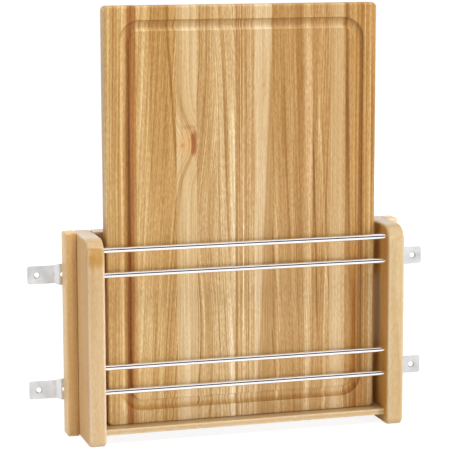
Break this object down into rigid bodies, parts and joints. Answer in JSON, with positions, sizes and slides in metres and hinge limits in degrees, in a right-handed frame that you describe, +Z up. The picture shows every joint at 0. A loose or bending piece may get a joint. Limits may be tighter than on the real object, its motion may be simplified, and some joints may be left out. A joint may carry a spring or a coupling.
{
  "type": "cutting board door rack",
  "caption": "Wooden rack for the inside of a cabinet door, with a shelf, chrome rods and screw-on brackets, holding an upright edge-glued cutting board with a juice groove.",
  "frame": {"origin": "middle of the four door screw holes, on the face of the door", "axes": "+X to the right as seen from in front of the rack, +Y into the door, +Z up"},
  "size_m": [0.4576, 0.0789, 0.4684],
  "materials": {
    "holder_maple": "clear satin lacquer over pale maple",
    "board_honey": "oiled hardwood, honey tan",
    "board_golden": "oiled hardwood, golden tan",
    "board_cream": "oiled hardwood, pale cream",
    "board_brown": "oiled hardwood, light brown",
    "dowel_beech": "plain beech",
    "rod_chrome": "bright chrome plate",
    "bracket_zinc": "bright zinc plate",
    "screw_zinc": "bright zinc plate"
  },
  "bodies": {
    "holder": {"side_panel_left": "holder_maple", "side_panel_right": "holder_maple", "back_stile_left": "holder_maple", "back_stile_right": "holder_maple", "bottom_shelf": "holder_maple", "lower_back_rail": "holder_maple", "upper_back_rail": "holder_maple", "bottom_retaining_rod": "rod_chrome", "lower_retaining_rod": "rod_chrome", "upper_retaining_rod": "rod_chrome", "top_retaining_rod": "rod_chrome", "rail_dowels": "dowel_beech", "stile_dowels": "dowel_beech", "bracket_screws": "screw_zinc"},
    "cutting_board": {"board_stave_01": "board_honey", "board_stave_02": "board_golden", "board_stave_03": "board_cream", "board_stave_04": "board_brown", "board_stave_05": "board_honey", "board_stave_06": "board_golden", "board_stave_07": "board_cream", "board_stave_08": "board_brown", "board_stave_09": "board_golden", "board_stave_10": "board_cream", "board_stave_11": "board_brown", "board_stave_12": "board_golden"},
    "lower_left_bracket": {"lower_door_bracket_left": "bracket_zinc"},
    "lower_right_bracket": {"lower_door_bracket_right": "bracket_zinc"},
    "upper_left_bracket": {"upper_door_bracket_left": "bracket_zinc"},
    "upper_right_bracket": {"upper_door_bracket_right": "bracket_zinc"}
  },
  "joints": [
    {"name": "cutting_board_lift", "type": "slide", "parent": "holder", "child": "cutting_board", "axis": [0, 0, 1], "range_m": [0, 0.215]},
    {"name": "lower_left_bracket_slide", "type": "slide", "parent": "holder", "child": "lower_left_bracket", "axis": [-1, 0, 0], "range_m": [-0.004, 0.006]},
    {"name": "lower_right_bracket_slide", "type": "slide", "parent": "holder", "child": "lower_right_bracket", "axis": [1, 0, 0], "range_m": [-0.004, 0.006]},
    {"name": "upper_left_bracket_slide", "type": "slide", "parent": "holder", "child": "upper_left_bracket", "axis": [-1, 0, 0], "range_m": [-0.004, 0.006]},
    {"name": "upper_right_bracket_slide", "type": "slide", "parent": "holder", "child": "upper_right_bracket", "axis": [1, 0, 0], "range_m": [-0.004, 0.006]}
  ]
}
